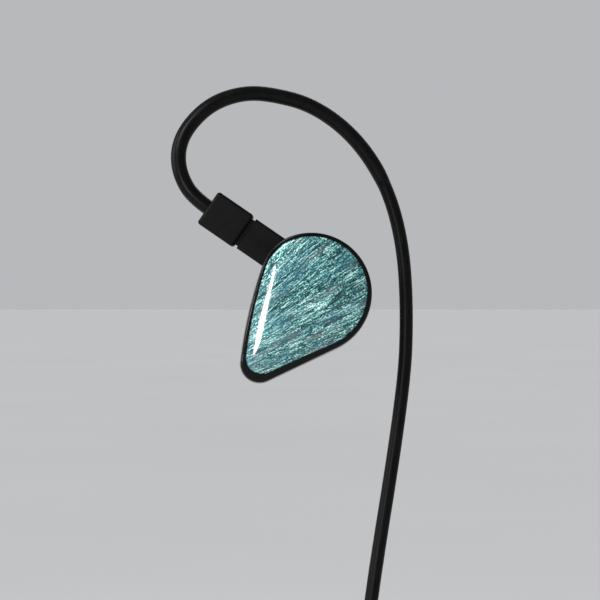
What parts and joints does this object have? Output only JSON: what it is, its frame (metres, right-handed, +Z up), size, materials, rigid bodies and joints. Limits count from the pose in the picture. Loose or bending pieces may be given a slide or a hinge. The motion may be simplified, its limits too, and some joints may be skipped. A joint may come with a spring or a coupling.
{
  "type": "in-ear monitor with cable",
  "caption": "Over-ear in-ear monitor with a teal fibre face plate, silicone ear tip, detachable two-pin cable, splitter, chin slider and stereo jack.",
  "frame": {"origin": "on the nozzle axis at the mouth of the ear tip, where the ear canal begins", "axes": "+Z up as worn, +Y into the head, -X to the front of the face; the face plate faces -Y"},
  "size_m": [0.0591, 0.023, 0.2042],
  "materials": {
    "gloss_black": "polished black resin",
    "teal_fibre": "teal fibre under clear lacquer",
    "black_plastic": "moulded",
    "satin_black": "satin moulded",
    "nozzle_metal": "turned",
    "steel": "stamped",
    "gasket": "foam",
    "film": "thin film",
    "magnet": "nickel plated",
    "board": "printed board",
    "copper": "enamelled wire",
    "gold": "gold plated",
    "silicone": "soft silicone",
    "cable_black": "satin jacket",
    "sleeve_black": "satin shrink sleeve",
    "strap": "hook and loop strap"
  },
  "bodies": {
    "monitor": {"shell": "gloss_black", "faceplate_inlay": "teal_fibre", "faceplate_carrier": "black_plastic", "nozzle": "nozzle_metal", "nozzle_mesh": "steel", "driver_gasket": "gasket", "driver_front_cover": "steel", "driver_frame": "black_plastic", "driver_surround": "film", "driver_top_plate": "steel", "driver_magnet": "magnet", "driver_yoke": "steel", "driver_terminal_board": "board", "driver_wires": "copper", "socket_housing": "satin_black", "socket_contacts": "gold"},
    "ear_tip": {"ear_tip": "silicone"},
    "diaphragm": {"driver_diaphragm": "film", "driver_voice_coil": "copper"},
    "cable": {"cord_left_upper": "cable_black", "cord_left_lower": "cable_black", "cord_right_lower": "cable_black", "cord_right_upper": "cable_black", "cord_main_lower": "cable_black", "cord_main_end": "cable_black", "ear_hook_left": "sleeve_black", "ear_hook_right": "sleeve_black", "hank_left": "cable_black", "hank_right": "cable_black", "hank_main": "cable_black", "hank_tie": "strap", "plug_left_shell": "satin_black", "plug_left_insert": "black_plastic", "plug_left_pins": "gold", "plug_right_shell": "satin_black", "plug_right_insert": "black_plastic", "plug_right_pins": "gold", "splitter_body": "satin_black", "splitter_cap": "black_plastic", "jack_tip": "gold", "jack_insulator": "black_plastic", "jack_ring": "gold", "jack_sleeve": "gold", "jack_barrel": "satin_black", "jack_strain_relief": "cable_black"},
    "chin_slider": {"chin_slider": "satin_black"}
  },
  "joints": [
    {"name": "ear_tip_pull", "type": "slide", "parent": "monitor", "child": "ear_tip", "axis": [-0.3401, 0.9345, 0.1045], "range_m": [0, 0.006]},
    {"name": "diaphragm_stroke", "type": "slide", "parent": "monitor", "child": "diaphragm", "axis": [-0.3401, 0.9345, 0.1045], "range_m": [-0.0002, 0.0002], "stiffness_N_per_m": 200},
    {"name": "plug_pull", "type": "slide", "parent": "monitor", "child": "cable", "axis": [-0.8241, 0, 0.5664], "range_m": [0, 0.006]},
    {"name": "chin_slide", "type": "slide", "parent": "cable", "child": "chin_slider", "axis": [0, 0, 1], "range_m": [-0.005, 0.005]}
  ]
}
